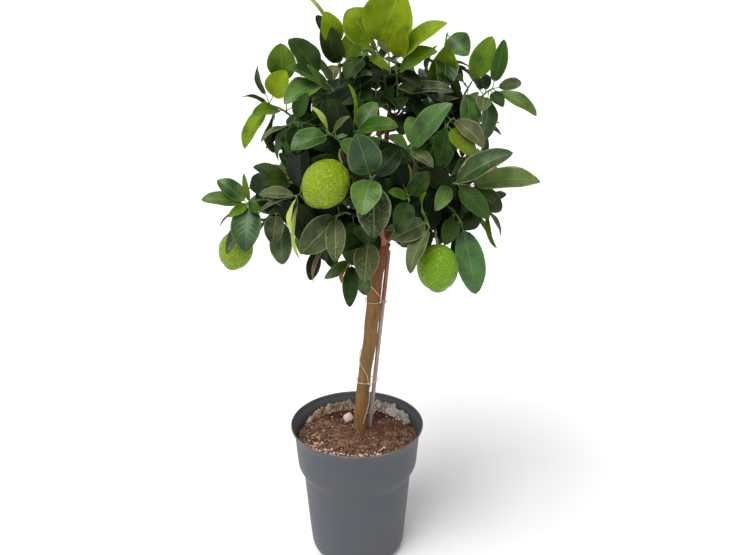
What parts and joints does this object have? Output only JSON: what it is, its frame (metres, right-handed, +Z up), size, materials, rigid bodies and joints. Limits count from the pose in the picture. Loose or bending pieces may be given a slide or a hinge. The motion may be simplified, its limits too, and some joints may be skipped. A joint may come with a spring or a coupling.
{
  "type": "potted lime tree",
  "caption": "Small grafted citrus tree trained on a bare stem with a cane and string, leafy round crown and green limes, in a tapered plastic nursery pot of soil.",
  "frame": {"origin": "centre of the pot's flat base, at ground level", "axes": "+Z up along the stem, -Y the front of the plant, +X to the right seen from the front"},
  "size_m": [0.394, 0.4129, 0.817],
  "materials": {
    "pot_plastic": "moulded grey plastic, faintly speckled, dusty near the foot",
    "soil": null,
    "root_crust": null,
    "pebble": "rough pale pebble",
    "cane": "weathered cane, grey below and reddish brown above",
    "string": "thin twisted natural string",
    "bark": "smooth brown bark with olive patches and small knots",
    "lime_skin": null,
    "leaf": null
  },
  "bodies": {
    "root": {"pot": "pot_plastic", "soil": "soil", "root_crust_right": "root_crust", "root_crust_left": "root_crust", "stone": "pebble", "stake": "cane", "string": "string", "trunk": "bark", "lime_front": "lime_skin", "lime_left": "lime_skin", "lime_right": "lime_skin", "shoot_top_bright": "leaf", "shoot_top_middle": "leaf", "shoot_top_left_inner": "leaf", "shoot_top_left": "leaf", "shoot_left_top": "leaf", "shoot_left_mid": "leaf", "shoot_front_left_high": "leaf", "shoot_front_high": "leaf", "shoot_right_top": "leaf", "shoot_right_top_out": "leaf", "shoot_right_mid_top": "leaf", "shoot_right_out_top": "leaf", "shoot_right_centre": "leaf", "shoot_right_shoulder": "leaf", "shoot_right_out": "leaf", "shoot_right_low_out": "leaf", "shoot_right_low": "leaf", "shoot_right_lime_shoot": "leaf", "shoot_centre_right": "leaf", "shoot_centre_front": "leaf", "shoot_centre_low": "leaf", "shoot_low_front": "leaf", "shoot_low_left_front": "leaf", "shoot_left_front": "leaf", "shoot_left_inner": "leaf", "shoot_left_shoot": "leaf", "shoot_left_low": "leaf", "shoot_low_left_back": "leaf", "shoot_back_low_left": "leaf", "shoot_back_low_middle": "leaf", "shoot_back_low_right": "leaf", "shoot_right_low_side": "leaf", "shoot_back_left_middle": "leaf", "shoot_back_middle": "leaf", "shoot_back_right_middle": "leaf", "shoot_right_side": "leaf", "shoot_back_left_high": "leaf", "shoot_back_high": "leaf", "shoot_back_right_high": "leaf", "shoot_right_side_high": "leaf", "shoot_back_top_left": "leaf", "shoot_back_top_middle": "leaf", "shoot_back_top_right": "leaf", "shoot_top_back": "leaf", "shoot_left_side_inner": "leaf", "shoot_front_inner": "leaf", "shoot_right_inner": "leaf", "shoot_left_low_side": "leaf", "shoot_low_inner": "leaf"}
  },
  "joints": []
}
